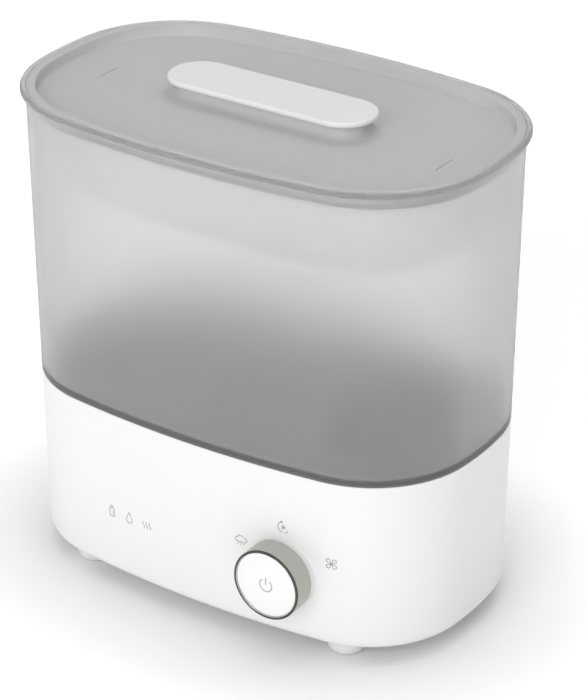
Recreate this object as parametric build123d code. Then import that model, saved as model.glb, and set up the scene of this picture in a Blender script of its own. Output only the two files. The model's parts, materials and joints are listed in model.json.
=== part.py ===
from build123d import *
import os
from math import atan2, cos, degrees, hypot, pi, radians, sin, sqrt, tan

# Electric steam sterilizer for baby bottles, with a drying blower.
# A white base with a water well, a heating plate, a blower and a rotary selector carries a tall
# smoke-grey basket. A shallow small basket with a perforated plate hangs in the basket's mouth, and
# a recessed lid with a raised grip closes it.
# Millimetres. X runs along the long side, the front is -Y, +Z is up.
# The origin lies on the table, below the middle of the rim.

# ---------------------------------------------------------------- plan outline, measured over the rim lip
rim_length = 290.0
rim_depth = 176.0
long_side_radius = 633.0
end_radius = 212.0
corner_radius = 69.0  # less where the depth leaves no room for it
end_arc_least = 8.0  # from the long axis to the start of a corner's arc, at the least
draft_angle = 0.75  # every outer wall leans out by this much on its way up, in degrees

# ---------------------------------------------------------------- levels
foot_height = 10.0
seam_z = 116.6  # where the large basket stands on the base
rim_z = 290.0  # top of the rim lip
running_gap = 0.4  # between pieces that lift out of each other
fit_gap = 0.1  # between pieces that are fixed together
slip_gap = 0.05  # between a turning or sliding piece and its bearing
past = 1.0  # a cutter runs this far past the faces that it opens
sink = 0.5  # a joined shape starts this far inside its neighbour

# ---------------------------------------------------------------- large basket
basket_wall = 2.2
lip_overhang = 3.0
lip_height = 3.4
lip_thickness = 3.0
lid_seat_depth = 2.8  # from the lip's top down to the ledge that carries the small basket
lip_top_round = 1.5
lip_under_round = 1.2
ledge_thickness = 2.4  # of the ledge at the seam that carries the bottle rack
skirt_depth = 8.0  # locating skirt below the seam
skirt_wall = 2.0

# ---------------------------------------------------------------- bottle rack
rack_thickness = 2.4
bottle_columns = 3
bottle_rows = 2
bottle_spacing_x = 80.0
bottle_spacing_y = 72.0
bottle_hole_radius = 12.0
bottle_peg_circle = 19.0
bottle_peg_radius = 2.2
bottle_peg_height = 14.0
bottle_pegs = 4
drain_slot_length = 16.0
drain_slot_width = 4.0
drain_slot_pitch = 24.0
drain_slots = 5

# ---------------------------------------------------------------- small basket and plate
tray_wall = 1.6
tray_flange = 1.2
tray_shelf_depth = 11.6  # from the rim's top down to the shelf that carries the plate
tray_shelf_inset = 15.0
tray_depth = 54.0
tray_slot_length = 18.0
tray_slot_width = 3.6
tray_slot_pitch_x = 26.0
tray_slot_pitch_y = 11.0
tray_slot_columns = 8
tray_slot_rows = 9
tray_slot_margin = 18.0  # kept clear between the slots and the small basket's wall
tray_round = 1.2
plate_thickness = 2.0
plate_hole_radius = 3.0
plate_hole_pitch = 13.0
plate_hole_margin = 22.0

# ---------------------------------------------------------------- lid and grip
lid_wall = 2.0
lid_recess = 6.0  # the panel lies this far below the rim
lid_skirt_drop = 9.0
recess_lean = 12.0  # of the recess's wall, in degrees
recess_round = 2.0
lid_edge_round = 0.6
grip_length = 131.0
grip_width = 37.6
grip_thickness = 2.6
grip_gap = 9.0  # finger room between the panel and the grip
pedestal_length = 122.0
pedestal_width = 28.0
pedestal_flare = 6.0
grip_peg_radius = 2.0
grip_peg_spacing = 46.0
grip_pegs = 3
grip_peg_reach = 2.0  # below the pedestal's top wall
grip_top_round = 1.1
grip_under_round = 0.5
vent_slot_length = 17.0
vent_slot_width = 1.6
vent_left_from_end = 37.5
vent_left_y = -4.5
vent_right_from_end = 29.5
vent_right_y = -9.5

# ---------------------------------------------------------------- base casing
base_wall = 2.6
base_fillet = 7.0
seam_round = 0.5
cover_thickness = 2.4
cover_edge = 7.0  # from the casing's outer wall to the bottom cover's edge
cover_rebate = 3.0
cover_flange = 1.4
cover_vents = 7
cover_vent_pitch = 9.0
cover_vent_length = 34.0
cover_vent_width = 3.0
deck_flange = 1.2
deck_flange_inset = 0.35  # from the casing's outer wall to the deck's edge
deck_wall = 2.2
deck_floor = 2.4
well_depth = 19.6  # from the seam down to the deck's floor
post_radius = 4.5
post_inset_x = 39.0  # from the rim's end to a deck post
post_inset_y = 44.0  # from the rim's side to a deck post
pilot_radius = 1.5
pilot_depth = 20.0
wall_reach = 3.0  # a cutter through the curved front wall runs at least this far past it
back_cut = 60.0  # length of the cutters through the back wall, about the rim's plane
screw_radius = 1.4
screw_head_radius = 3.0
screw_head_height = 1.6
screw_bite = 2.6  # thread in the plastic behind a clamped piece
screw_end_gap = 4.0  # left below a screw's tip in its pilot hole
cross_length = 3.2
cross_width = 0.8
cross_depth = 0.7
foot_radius = 11.0
foot_round = 4.5
foot_inset_x = 57.0
foot_inset_y = 32.0
foot_stem_radius = 3.0
foot_barb_radius = 4.0
foot_barb_height = 1.7

# ---------------------------------------------------------------- heating plate
heater_from_end = 100.0
plate_radius = 60.0
dish_radius = 46.0
dish_depth = 4.0
dish_slope = 4.0
plate_gauge = 1.2
seal_height = 1.2
well_mouth_radius = 54.0
well_mouth_chamfer = 1.6
clamp_radius = 68.0
clamp_mouth_radius = 53.0
clamp_gauge = 1.6
clamp_screw_circle = 64.5
clamp_screws = 6
spreader_radius = 42.0
spreader_thickness = 3.0
element_circle = 34.0
element_radius = 3.3
element_sweep = 300.0
element_leg = 12.0
element_pin = 6.0
element_pin_radius = 1.2
thermostat_radius = 8.0
thermostat_height = 6.0
thermostat_neck_radius = 5.5
thermostat_neck = 3.0
tab_width = 4.0  # of a push-on terminal
tab_gauge = 0.8
tab_length = 6.0
fuse_radius = 2.2
fuse_length = 12.0
fuse_lead_radius = 0.6
fuse_lead_length = 26.0
fuse_y = 17.0

# ---------------------------------------------------------------- blower, duct and outlet
blower_from_end = 71.0
blower_y = 16.0
scroll_radius = 35.0
scroll_height = 26.0
scroll_wall = 1.8
scroll_lift = 7.6  # scroll above the bottom cover
scroll_post_radius = 3.5
scroll_post_inset = 6.0  # from the scroll's rim
intake_radius = 20.0
spout_width = 22.0
impeller_clearance = 4.2  # from the impeller to the scroll's wall
impeller_height = 18.0
impeller_blades = 24
blade_length = 8.0
blade_thickness = 1.2
impeller_web = 2.0
impeller_ring = 1.4
impeller_gap = 4.0  # from the scroll's underside to the impeller
blade_angle = 28.0
blade_edge = 0.6  # from a blade's tip to the impeller's rim
hub_radius = 6.0
motor_radius = 16.0
motor_height = 24.0
motor_cap = 3.0
motor_round = 2.0
motor_tab_spacing = 10.0
motor_tab_width = 3.0
motor_tab_length = 4.0
shaft_radius = 1.5
duct_size = 30.0
duct_wall = 2.0
air_heater_height = 14.0
air_heater_slots = 6
air_heater_fin = 1.2
air_heater_lift = 14.0  # above the scroll
chimney_size = 32.0
chimney_top_gap = 8.0  # from the seam down to the outlet grille's top
grille_thickness = 2.0
grille_bars = 5
grille_bar_width = 1.8
grille_collar = 4.0
grille_collar_wall = 1.2

# ---------------------------------------------------------------- filter in the back wall
filter_x = 44.0
filter_z = 56.0
filter_width = 56.0
filter_height = 50.0
filter_frame_wall = 2.0
filter_frame_inset = 2.0  # from the opening to the frame behind it
filter_frame_depth = 12.0
filter_depth = 8.0
filter_pleats = 9
pleat_paper = 1.2
louvre_slots = 6
louvre_height = 3.0
louvre_length = 40.0
louvre_drop = 4.0  # of the louvres' middle below the cover's middle
thumb_radius = 9.0
thumb_depth = 1.2
thumb_drop = 6.0  # from the opening's top

# ---------------------------------------------------------------- selector knob and power button
knob_from_end = 85.2
knob_z = 51.0
knob_radius = 21.0
knob_projection = 16.1
knob_wall = 1.4
knob_gap = 2.0  # from the casing's face at the knob's axis to the knob's back
knob_pad = 1.5  # height there of the flat round pad that squares the curved face to the knob
knob_pad_inset = 0.8  # from the knob's rim to the pad's
knob_web = 2.4
trim_depth = 0.9
trim_round = 0.3
knob_back_round = 0.5
sleeve_gap = 0.6  # between the knob's sleeve and the bracket
hub_sleeve_radius = 11.0
guide_radius = 8.8
guide_proud = 1.0  # past the knob's back
button_gap = 0.3
button_thickness = 3.0
button_dome = 0.4
button_stem_radius = 3.0
button_recess = 0.3
cam_radius = 15.0
cam_thickness = 3.0
cam_lift = 1.0  # above the bracket
cam_notch_radius = 1.6
cam_notches = (-60, 0, 60)
bracket_width = 60.0
bracket_height = 40.0
bracket_gauge = 2.0
bracket_depth = 14.0  # from the casing's outer face back to the bracket
bracket_boss_radius = 3.2
bracket_boss_x = 25.0
bracket_boss_y = 15.0
bracket_pilot_end = 2.0  # from the casing wall's inner face to the end of a screw's pilot hole
bracket_corner = 4.0
board_peg_radius = 2.5
board_peg_inset = 9.0  # from a bracket boss towards the middle
bracket_screw_length = 10.0
selector_board_width = 44.0
selector_board_height = 36.0
led_radius = 1.5
led_height = 2.0
led_x = 10.0
led_y = 8.0
switch_size = 6.0
switch_height = 3.5
plunger_radius = 1.5
plunger_length = 1.5  # inside the switch
plunger_reach = 1.7
board_gauge = 1.6
spring_gauge = 0.4
spring_width = 2.4
spring_length = 20.0
spring_drop = 0.9  # from the cam's rim to the leaf
spring_foot = 3.0  # the end that stands on the bracket
spring_lift = 1.2  # of the leaf above the bracket

# ---------------------------------------------------------------- power board
board_length = 90.0
board_width = 56.0
board_lift = 11.6  # above the bottom cover
board_x = -44.0
board_y = -22.0
board_post_radius = 3.0
board_post_inset = 5.0
board_screw_length = 8.0
relay_place = (-22.0, 8.0)  # from the board's middle
relay_size = (20.0, 16.0, 15.0)
transformer_place = (6.0, 6.0)
transformer_length = 24.0
transformer_width = 20.0
transformer_core_height = 6.0
coil_length = 16.0
coil_height = 17.0
capacitor_place = (30.0, 6.0)
capacitor_radius = 6.5
capacitor_height = 20.0
capacitor_round = 0.8
terminal_place = (-14.0, -17.0)
terminal_length = 30.0
terminal_width = 10.0
terminal_height = 11.0
terminals = 4
terminal_pitch = 7.0
terminal_well = 3.0
terminal_well_radius = 2.0

# ---------------------------------------------------------------- cord gland
gland_z = 30.0
gland_bore = 3.4
gland_neck_radius = 5.8
gland_flange_radius = 9.0
gland_flange = 2.0
gland_collar = 3.0  # inside the wall
gland_step = 0.6
gland_tip_radius = 5.0

# ---------------------------------------------------------------- levels that follow from the sizes above
half_length = rim_length / 2
half_depth = rim_depth / 2
side_sag = (half_length - corner_radius) ** 2 / (2 * long_side_radius)
corner_bend = min(corner_radius, half_depth - side_sag - end_arc_least)
base_z = foot_height
cover_top_z = base_z + cover_thickness
casing_top_z = seam_z - deck_flange
deck_top_z = seam_z - well_depth
deck_under_z = deck_top_z - deck_floor
lip_under_z = rim_z - lip_height
ledge_z = rim_z - lid_seat_depth
flange_top_z = ledge_z + tray_flange
rack_z = seam_z + ledge_thickness
tray_shelf_z = rim_z - tray_shelf_depth
tray_floor_z = rim_z - tray_depth
panel_z = rim_z - lid_recess
grip_z = panel_z + grip_gap
heater_x = -half_length + heater_from_end
flange_z = deck_under_z - seal_height  # top of the heating plate's flange
dish_under_z = flange_z - dish_depth - plate_gauge
spreader_z = dish_under_z - spreader_thickness
blower_x = half_length - blower_from_end
scroll_z = cover_top_z + scroll_lift
impeller_radius = scroll_radius - scroll_wall - impeller_clearance
duct_x = blower_x - scroll_radius + spout_width / 2
duct_back_y = blower_y - scroll_radius
duct_y = duct_back_y - duct_size / 2
post_x = half_length - post_inset_x
post_y = half_depth - post_inset_y
foot_x = half_length - foot_inset_x
foot_y = half_depth - foot_inset_y
knob_x = half_length - knob_from_end


# ================================================================ shared shapes
def corner_centre():
    """Centre of the corner arc that runs tangent into the long side's arc and the end's arc."""
    side_y = half_depth - long_side_radius
    end_x = half_length - end_radius
    to_side = long_side_radius - corner_bend
    to_end = end_radius - corner_bend
    span = hypot(end_x, side_y)
    along = (span**2 + to_side**2 - to_end**2) / (2 * span)
    across = sqrt(to_side**2 - along**2)
    x = (end_x * along - side_y * across) / span
    y = side_y + (-side_y * along - end_x * across) / span
    return x, y


def outline(inset, z):
    """The plan outline as a face at height z, moved in by inset all round."""
    corner_x, corner_y = corner_centre()
    side_y = half_depth - long_side_radius
    end_x = half_length - end_radius
    side_angle = degrees(atan2(corner_y - side_y, corner_x))
    end_angle = degrees(atan2(corner_y, corner_x - end_x))
    turn = side_angle - end_angle
    side = long_side_radius - inset
    end = end_radius - inset
    corner = corner_bend - inset
    arcs = [
        CenterArc((0, side_y), side, side_angle, 180 - 2 * side_angle),
        CenterArc((-corner_x, corner_y), corner, 180 - side_angle, turn),
        CenterArc((-end_x, 0), end, 180 - end_angle, 2 * end_angle),
        CenterArc((-corner_x, -corner_y), corner, 180 + end_angle, turn),
        CenterArc((0, -side_y), side, 180 + side_angle, 180 - 2 * side_angle),
        CenterArc((corner_x, -corner_y), corner, -side_angle, turn),
        CenterArc((end_x, 0), end, -end_angle, 2 * end_angle),
        CenterArc((corner_x, corner_y), corner, end_angle, turn),
    ]
    return Pos(0, 0, z) * make_face([arc.edge() for arc in arcs])


def wall_inset(z):
    """How far the outer wall stands in from the rim lip at height z."""
    return lip_overhang + (lip_under_z - z) * tan(radians(draft_angle))


def straight_block(low, high, inset):
    """A block with the plan outline and upright sides."""
    return extrude(outline(inset, low), high - low)


def leaning_block(low, high, behind=0.0):
    """A block whose sides run parallel to the outer wall, a distance behind it."""
    return extrude(outline(wall_inset(low) + behind, low), high - low, taper=-draft_angle)


def rod(x, y, low, high, radius):
    """An upright round bar."""
    return Pos(x, y, (low + high) / 2) * Cylinder(radius, high - low)


def hole(x, y, low, high, radius):
    """A cutter for a round hole from low to high."""
    return rod(x, y, low - past, high + past, radius)


def bar(x, y, low, high, size_x, size_y):
    """An upright square bar."""
    return Pos(x, y, (low + high) / 2) * Box(size_x, size_y, high - low)


def slot(x, y, low, high, length, width, turned=0):
    """A round-ended slot cutter."""
    face = SlotOverall(length, width, rotation=turned)
    return extrude(Pos(x, y, low) * face, high - low)


def tube(x, y, low, high, outer, inner):
    """An upright ring."""
    return rod(x, y, low, high, outer) - hole(x, y, low, high, inner)


def spread(count, pitch):
    """Places of count things, pitch apart, about zero."""
    return [(i - (count - 1) / 2) * pitch for i in range(count)]


def corners(x, y):
    return [(sx * x, sy * y) for sx in (-1, 1) for sy in (-1, 1)]


def low_edges(shape, z):
    """Edges that lie flat at height z."""
    return shape.edges().filter_by_position(Axis.Z, z - 0.01, z + 0.01)


def near_middle(edges, half_x, half_y):
    """The edges whose own middle lies within a rectangle about the Z axis."""
    return [e for e in edges if abs(e.center().X) < half_x and abs(e.center().Y) < half_y]


def front_plane(x, z):
    """The upright plane through the casing's front face at x and z: X runs right, Y up and Z forward."""
    radius = long_side_radius - wall_inset(z)
    y = long_side_radius - half_depth - sqrt(radius**2 - x**2)
    return Plane(origin=(x, y, z), x_dir=(1, 0, 0), z_dir=(0, -1, 0))


knob_plane = front_plane(knob_x, knob_z)
knob_front_y = knob_plane.origin.Y - knob_projection


def on_knob(shape):
    """Places a shape that was made about the knob's own axis, with its Z pointing out of the casing."""
    return knob_plane.location * shape


def disc(low, high, radius):
    """A round block on the knob's axis."""
    return rod(0, 0, low, high, radius)


# ================================================================ large basket
def large_basket():
    body = leaning_block(seam_z, lip_under_z + sink)
    lip = straight_block(lip_under_z, rim_z, 0)
    lip = fillet(low_edges(lip, rim_z), lip_top_round)
    lip = fillet(low_edges(lip, lip_under_z), lip_under_round)
    body = body + lip
    skirt_inset = base_wall + running_gap + deck_wall + running_gap
    body += leaning_block(seam_z - skirt_depth, seam_z, skirt_inset)
    body -= leaning_block(rack_z, ledge_z, basket_wall)
    body -= straight_block(ledge_z, rim_z + past, lip_thickness)
    body -= leaning_block(seam_z - skirt_depth - past, rack_z, skirt_inset + skirt_wall)
    return body


def bottle_rack():
    """The perforated floor that lies on the large basket's ledge and holds the bottles on pegs."""
    low, high = rack_z, rack_z + rack_thickness
    body = leaning_block(low, high, basket_wall + running_gap)
    for x in spread(bottle_columns, bottle_spacing_x):
        for y in spread(bottle_rows, bottle_spacing_y):
            body -= hole(x, y, low, high, bottle_hole_radius)
            for turn in spread(bottle_pegs, 360 / bottle_pegs):
                peg_x = x + bottle_peg_circle * cos(radians(turn))
                peg_y = y + bottle_peg_circle * sin(radians(turn))
                body += rod(peg_x, peg_y, high, high + bottle_peg_height, bottle_peg_radius)
    for x in spread(bottle_columns - 1, bottle_spacing_x):
        for y in spread(drain_slots, drain_slot_pitch):
            body -= slot(x, y, low - past, high + past, drain_slot_length, drain_slot_width, 90)
    return body


# ================================================================ small basket and its plate
def small_basket():
    hang = basket_wall + running_gap
    outer_inset = wall_inset(tray_shelf_z) + hang
    body = straight_block(ledge_z, flange_top_z, lip_thickness + running_gap)
    body += straight_block(tray_shelf_z - tray_wall, ledge_z, outer_inset)
    body += leaning_block(tray_floor_z, tray_shelf_z, tray_shelf_inset)
    body -= straight_block(tray_shelf_z, flange_top_z + past, outer_inset + tray_wall)
    body -= leaning_block(tray_floor_z + tray_wall, tray_shelf_z, tray_shelf_inset + tray_wall)
    body = fillet(low_edges(body, tray_floor_z), tray_round)
    end_bend = half_length - half_depth + tray_slot_margin / 2
    low, high = tray_floor_z - past, tray_floor_z + tray_wall + past
    for x in spread(tray_slot_columns, tray_slot_pitch_x):
        for y in spread(tray_slot_rows, tray_slot_pitch_y):
            reach = hypot(max(abs(x) - end_bend, 0), y)
            if reach < half_depth - tray_shelf_inset - tray_slot_margin:
                body -= slot(x, y, low, high, tray_slot_length, tray_slot_width)
    return body


def perforated_plate():
    inset = wall_inset(tray_shelf_z) + basket_wall + 2 * running_gap + tray_wall
    body = straight_block(tray_shelf_z, tray_shelf_z + plate_thickness, inset)
    columns = int((rim_length - 2 * plate_hole_margin) / plate_hole_pitch)
    rows = int((rim_depth - 2 * plate_hole_margin) / plate_hole_pitch)
    corner_x, corner_y = corner_centre()
    reach = corner_bend - tray_shelf_inset - 2 * plate_hole_radius
    low, high = tray_shelf_z - past, tray_shelf_z + plate_thickness + past
    holes = []
    for row, y in enumerate(spread(rows, plate_hole_pitch)):
        for x in spread(columns - row % 2, plate_hole_pitch):
            away = hypot(max(abs(x) - corner_x, 0), max(abs(y) - corner_y, 0))
            if away < reach:
                holes.append(rod(x, y, low, high, plate_hole_radius))
    return body - holes


# ================================================================ lid and grip
def lid():
    skirt_inset = lip_overhang + basket_wall + 2 * running_gap + tray_wall + 2 * fit_gap
    panel_inset = skirt_inset + lid_wall
    body = straight_block(rim_z - lid_skirt_drop, rim_z, skirt_inset)
    body += straight_block(flange_top_z, rim_z, lip_thickness + running_gap)
    recess = extrude(outline(panel_inset, panel_z), lid_recess + past, taper=-recess_lean)
    body -= fillet(low_edges(recess, panel_z), recess_round)
    body -= straight_block(rim_z - lid_skirt_drop - past, panel_z - lid_wall, panel_inset)
    body = fillet(low_edges(body, rim_z), lid_edge_round)
    body += slot(0, 0, panel_z - sink, grip_z, pedestal_length, pedestal_width)
    root = near_middle(low_edges(body, panel_z), pedestal_length / 2 + past, pedestal_width / 2 + past)
    body = fillet(root, pedestal_flare)
    inner_length = pedestal_length - 2 * lid_wall
    inner_width = pedestal_width - 2 * lid_wall
    body -= slot(0, 0, panel_z - lid_wall - past, grip_z - lid_wall, inner_length, inner_width)
    for x in spread(grip_pegs, grip_peg_spacing):
        body -= rod(x, 0, panel_z, grip_z + past, grip_peg_radius + fit_gap)
    low, high = panel_z - lid_wall - past, panel_z + past
    left = (vent_left_from_end - half_length, vent_left_y)
    right = (half_length - vent_right_from_end, vent_right_y)
    for x, y in (left, right):
        body -= slot(x, y, low, high, vent_slot_length, vent_slot_width, 90)
    return body


def grip_cap():
    body = slot(0, 0, grip_z, grip_z + grip_thickness, grip_length, grip_width)
    body = fillet(low_edges(body, grip_z + grip_thickness), grip_top_round)
    body = fillet(low_edges(body, grip_z), grip_under_round)
    for x in spread(grip_pegs, grip_peg_spacing):
        body += rod(x, 0, grip_z - lid_wall - grip_peg_reach, grip_z, grip_peg_radius)
    return body


# ================================================================ base casing
def base_casing():
    body = leaning_block(base_z, casing_top_z)
    body = fillet(low_edges(body, base_z), base_fillet)
    body = fillet(low_edges(body, casing_top_z), seam_round)
    shelf_z = base_z + cover_flange + base_wall
    body -= leaning_block(shelf_z, casing_top_z + past, base_wall)
    body -= leaning_block(base_z - past, shelf_z, cover_edge + cover_rebate)
    body -= leaning_block(base_z - past, base_z + cover_flange, cover_edge)
    body += on_knob(disc(-base_wall, knob_pad, knob_radius - knob_pad_inset))
    boss = disc(-bracket_depth, knob_pad, bracket_boss_radius)
    for x, y in corners(bracket_boss_x, bracket_boss_y):
        body += on_knob(Pos(x, y, 0) * boss) & leaning_block(base_z, casing_top_z, base_wall / 2)
        pilot = disc(-bracket_depth - past, -base_wall - bracket_pilot_end, screw_radius + fit_gap)
        body -= on_knob(Pos(x, y, 0) * pilot)
    body -= on_knob(disc(-base_wall - wall_reach, wall_reach, hub_sleeve_radius + running_gap))
    neck = Cylinder(gland_neck_radius + fit_gap, back_cut)
    body -= Pos(0, half_depth, gland_z) * Rot(90, 0, 0) * neck
    body -= Pos(filter_x, half_depth, filter_z) * Box(filter_width, back_cut, filter_height)
    return body


def bottom_cover():
    gap = running_gap
    body = leaning_block(base_z, cover_top_z, cover_edge + cover_rebate + gap)
    body += leaning_block(base_z, base_z + cover_flange, cover_edge + gap)
    for x, y in corners(foot_x, foot_y):
        body -= hole(x, y, base_z, cover_top_z, foot_stem_radius + fit_gap)
    for x, y in corners(post_x, post_y):
        body -= hole(x, y, base_z, cover_top_z, screw_radius + 2 * fit_gap)
        body -= rod(x, y, base_z - past, base_z + screw_head_height, screw_head_radius + fit_gap)
    for turn in (90, 210, 330):
        reach = scroll_radius - scroll_post_inset
        x = blower_x + reach * cos(radians(turn))
        y = blower_y + reach * sin(radians(turn))
        body += rod(x, y, cover_top_z - sink, scroll_z, scroll_post_radius)
    for x, y in corners(board_length / 2 - board_post_inset, board_width / 2 - board_post_inset):
        low, high = cover_top_z - sink, cover_top_z + board_lift
        body += tube(board_x + x, board_y + y, low, high, board_post_radius, pilot_radius)
    low, high = base_z - past, cover_top_z + past
    for x in spread(cover_vents, cover_vent_pitch):
        body -= slot(board_x + x, board_y, low, high, cover_vent_length, cover_vent_width, 90)
    return body


def foot():
    """One soft foot about the Z axis, with a barbed stem that snaps through the bottom cover."""
    body = fillet(low_edges(rod(0, 0, 0, base_z, foot_radius), 0), foot_round)
    body += rod(0, 0, base_z - sink, cover_top_z + fit_gap + foot_barb_height, foot_stem_radius)
    barb_z = cover_top_z + fit_gap
    body += rod(0, 0, barb_z, barb_z + foot_barb_height, foot_barb_radius)
    return body


def deck():
    body = leaning_block(casing_top_z, seam_z, deck_flange_inset)
    body += leaning_block(deck_under_z, seam_z, base_wall + running_gap)
    body -= leaning_block(deck_top_z, seam_z + past, base_wall + running_gap + deck_wall)
    body += rod(heater_x, 0, flange_z - plate_gauge, deck_under_z + sink, clamp_radius)
    body -= rod(heater_x, 0, flange_z - plate_gauge - past, deck_under_z, plate_radius + fit_gap)
    body -= hole(heater_x, 0, deck_under_z, deck_top_z, well_mouth_radius)
    body = chamfer([edge for edge in low_edges(body, deck_top_z) if edge.is_closed], well_mouth_chamfer)
    for x, y in clamp_screw_places():
        body -= rod(x, y, flange_z - plate_gauge - past, flange_z + screw_bite, screw_radius + fit_gap)
    top = seam_z - chimney_top_gap - grille_thickness
    body += bar(duct_x, duct_y, deck_top_z - sink, top, chimney_size, chimney_size)
    inner = chimney_size - 2 * deck_wall
    body -= bar(duct_x, duct_y, deck_under_z - past, top + past, inner, inner)
    for x, y in corners(post_x, post_y):
        body += rod(x, y, cover_top_z, deck_under_z + sink, post_radius)
        body -= rod(x, y, cover_top_z - past, cover_top_z + pilot_depth, pilot_radius)
    return body


def base_screws():
    length = pilot_depth - screw_end_gap
    return [screw(x, y, base_z + screw_head_height, length) for x, y in corners(post_x, post_y)]


def screw(x, y, seat_z, length):
    """A pan-head screw that points up, with its head's bearing face at seat_z and a cross recess below."""
    body = rod(x, y, seat_z - screw_head_height, seat_z, screw_head_radius - fit_gap)
    body += rod(x, y, seat_z - sink, seat_z + length, screw_radius)
    for turn in (0, 90):
        cross = Rot(0, 0, turn) * Box(cross_length, cross_width, 2 * cross_depth)
        body -= Pos(x, y, seat_z - screw_head_height) * cross
    return body


# ================================================================ heating plate
def clamp_screw_places():
    step = 2 * pi / clamp_screws
    return [
        (heater_x + clamp_screw_circle * cos(i * step), clamp_screw_circle * sin(i * step))
        for i in range(clamp_screws)
    ]


def heating_plate():
    lip = flange_z
    with BuildSketch(Plane.XZ) as half:
        Polygon(
            (0, lip - dish_depth),
            (dish_radius, lip - dish_depth),
            (dish_radius + dish_slope, lip),
            (plate_radius, lip),
            (plate_radius, lip - plate_gauge),
            (dish_radius + dish_slope + plate_gauge / 2, lip - plate_gauge),
            (dish_radius + plate_gauge / 2, lip - dish_depth - plate_gauge),
            (0, lip - dish_depth - plate_gauge),
            align=None,
        )
    return Pos(heater_x, 0, 0) * revolve(half.sketch, Axis.Z)


def heater_seal():
    return tube(heater_x, 0, flange_z, deck_under_z, plate_radius, well_mouth_radius)


def heat_spreader():
    return rod(heater_x, 0, spreader_z, dish_under_z, spreader_radius)


def heating_element():
    """A tubular element in an open ring below the spreader, with two legs that turn down."""
    z = spreader_z - element_radius
    gap = (360 - element_sweep) / 2
    ring = CenterArc((0, 0), element_circle, gap, element_sweep)
    path = Pos(heater_x, 0, z) * ring.edge()
    section = Plane(origin=path @ 0, z_dir=path % 0) * Circle(element_radius)
    body = sweep(section, path=path)
    for turn in (gap, -gap):
        x = heater_x + element_circle * cos(radians(turn))
        y = element_circle * sin(radians(turn))
        body += Pos(x, y, z) * Sphere(element_radius)
        body += rod(x, y, z - element_leg, z, element_radius)
        body += rod(x, y, z - element_leg - element_pin, z - element_leg, element_pin_radius)
    return body


def heater_clamp():
    low = flange_z - plate_gauge - clamp_gauge
    body = tube(heater_x, 0, low, low + clamp_gauge, clamp_radius, clamp_mouth_radius)
    for x, y in clamp_screw_places():
        body -= hole(x, y, low, low + clamp_gauge, screw_radius + 2 * fit_gap)
    return body


def heater_screws():
    seat = flange_z - plate_gauge - clamp_gauge
    return [screw(x, y, seat, clamp_gauge + screw_bite) for x, y in clamp_screw_places()]


def thermostat():
    under = spreader_z - thermostat_height
    low = under - thermostat_neck
    body = rod(heater_x, 0, under, spreader_z, thermostat_radius)
    body += rod(heater_x, 0, low, under, thermostat_neck_radius)
    for y in (-tab_width, tab_width):
        body += bar(heater_x, y, low - tab_length, low + sink, tab_width, tab_gauge)
    return body


def thermal_fuse():
    place = Pos(heater_x, fuse_y, spreader_z - fuse_radius) * Rot(0, 90, 0)
    return place * (Cylinder(fuse_radius, fuse_length) + Cylinder(fuse_lead_radius, fuse_lead_length))


# ================================================================ blower and duct
def blower_scroll():
    high = scroll_z + scroll_height
    body = rod(blower_x, blower_y, scroll_z, high, scroll_radius)
    reach = blower_y - duct_back_y
    body += bar(duct_x, blower_y - reach / 2, scroll_z, high, spout_width, reach)
    inner = rod(blower_x, blower_y, scroll_z + scroll_wall, high - scroll_wall, scroll_radius - scroll_wall)
    inner += bar(
        duct_x,
        blower_y - reach / 2 - past,
        scroll_z + scroll_wall,
        high - scroll_wall,
        spout_width - 2 * scroll_wall,
        reach + 2 * past,
    )
    body -= inner
    body -= hole(blower_x, blower_y, scroll_z, scroll_z + scroll_wall, intake_radius)
    body -= hole(blower_x, blower_y, high - scroll_wall, high, hub_radius)
    return body


def blower_motor():
    low = scroll_z + scroll_height
    body = rod(blower_x, blower_y, low, low + motor_height, motor_radius)
    body = fillet(low_edges(body, low + motor_height), motor_round)
    body -= rod(blower_x, blower_y, low - past, low + motor_height - motor_cap, shaft_radius + slip_gap)
    high = low + motor_height
    for x in spread(2, motor_tab_spacing):
        body += bar(blower_x + x, blower_y, high - sink, high + motor_tab_length, motor_tab_width, tab_gauge)
    return body


def blower_shaft():
    top = scroll_z + scroll_height + motor_height - motor_cap - sink
    return rod(blower_x, blower_y, scroll_z + impeller_gap, top, shaft_radius)


def impeller():
    low = scroll_z + impeller_gap
    high = low + impeller_height
    body = rod(blower_x, blower_y, high - impeller_web, high, impeller_radius)
    body += rod(blower_x, blower_y, low + impeller_gap, high, hub_radius - 1)
    blade = Pos(impeller_radius - blade_length / 2 - blade_edge, 0, (low + high - impeller_web / 2) / 2)
    blade *= Rot(0, 0, blade_angle) * Box(blade_length, blade_thickness, impeller_height - impeller_web / 2)
    wheel = Pos(blower_x, blower_y, 0)
    body += [wheel * Rot(0, 0, i * 360 / impeller_blades) * blade for i in range(impeller_blades)]
    inner = impeller_radius - blade_length - 1
    body += tube(blower_x, blower_y, low, low + impeller_ring, impeller_radius, inner)
    body -= hole(blower_x, blower_y, low, high, shaft_radius + slip_gap / 2)
    return body


def air_duct():
    inner = duct_size - 2 * duct_wall
    body = bar(duct_x, duct_y, scroll_z, deck_under_z, duct_size, duct_size)
    body -= bar(duct_x, duct_y, scroll_z + duct_wall, deck_under_z + past, inner, inner)
    mouth_z = scroll_z + scroll_height / 2
    mouth = Box(spout_width - 2 * scroll_wall, 3 * duct_wall, scroll_height - 2 * scroll_wall)
    body -= Pos(duct_x, duct_back_y, mouth_z) * mouth
    return body


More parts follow.
